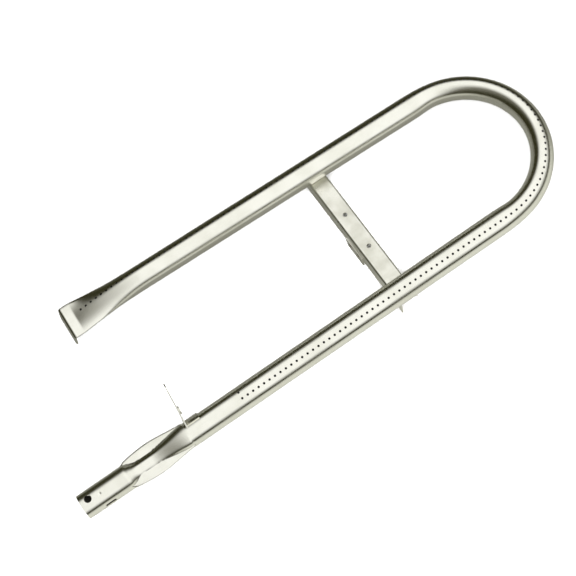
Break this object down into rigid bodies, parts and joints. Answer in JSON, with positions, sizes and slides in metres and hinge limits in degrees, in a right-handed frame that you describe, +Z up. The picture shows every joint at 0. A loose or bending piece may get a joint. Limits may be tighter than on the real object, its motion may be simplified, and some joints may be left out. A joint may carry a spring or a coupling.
{
  "type": "gas burner",
  "caption": "U-shaped perforated tube burner with a pinched gas and air inlet, a flattened folded end, a cross strap between the legs and an igniter bracket.",
  "frame": {"origin": "centre of the open mouth of the gas inlet, on the inlet leg's axis", "axes": "+X along the inlet leg towards the bend, +Y across to the return leg, +Z up, on the side of the flame ports"},
  "size_m": [0.4421, 0.1551, 0.0634],
  "materials": {
    "tube_steel": "smooth drawn stainless tube with faint lengthwise lines",
    "sheet_steel": "satin rolled sheet with faint mottling",
    "weld_steel": "rough weld metal with heat tint"
  },
  "bodies": {
    "root": {"pinched_inlet": "tube_steel", "inlet_leg": "tube_steel", "return_bend": "tube_steel", "return_leg": "tube_steel", "cross_strap": "sheet_steel", "strap_tab": "sheet_steel", "igniter_bracket": "sheet_steel", "weld_inlet_leg": "weld_steel", "weld_return_leg": "weld_steel", "weld_strap_tab": "weld_steel"}
  },
  "joints": []
}
